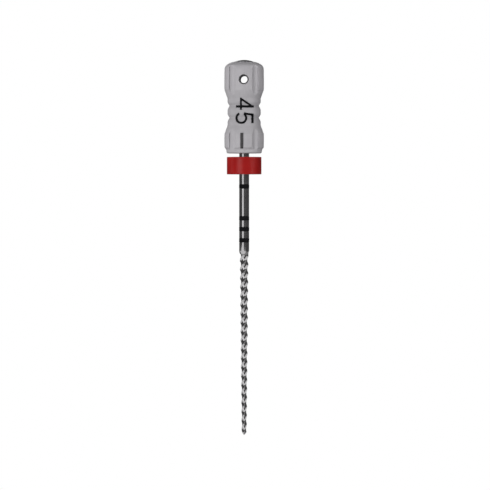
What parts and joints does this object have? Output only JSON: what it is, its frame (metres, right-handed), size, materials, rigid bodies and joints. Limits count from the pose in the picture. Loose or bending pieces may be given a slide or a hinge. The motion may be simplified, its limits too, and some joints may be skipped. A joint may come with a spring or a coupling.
{
  "type": "endodontic hand file",
  "caption": "Slim steel root canal hand file: twisted tapered blade, shank with black depth marks, sliding red silicone stop, and fluted grey plastic handle with a thread hole.",
  "frame": {"origin": "the tip of the file, on the axis of the instrument", "axes": "+Z along the axis from the tip towards the handle, -Y out of the printed front of the handle"},
  "size_m": [0.0036, 0.0036, 0.0333],
  "materials": {
    "handle_plastic": "light grey moulded plastic, satin",
    "black_mark": "black insert, satin",
    "print_ink": "black pad print",
    "stainless_steel": "bright ground stainless steel",
    "depth_mark": "black enamel fill",
    "stop_silicone": "dark red silicone"
  },
  "bodies": {
    "instrument": {"handle": "handle_plastic", "top_mark": "black_mark", "size_digit_4": "print_ink", "size_digit_5": "print_ink", "index_dash": "print_ink", "file_blank": "stainless_steel", "depth_band_22": "depth_mark", "depth_band_19": "depth_mark", "depth_band_18": "depth_mark", "depth_band_17": "depth_mark"},
    "stop": {"silicone_stop": "stop_silicone"}
  },
  "joints": [
    {"name": "stop_slide", "type": "slide", "parent": "instrument", "child": "stop", "axis": [0, 0, 1], "range_m": [-0.00714, 0.0003]}
  ]
}
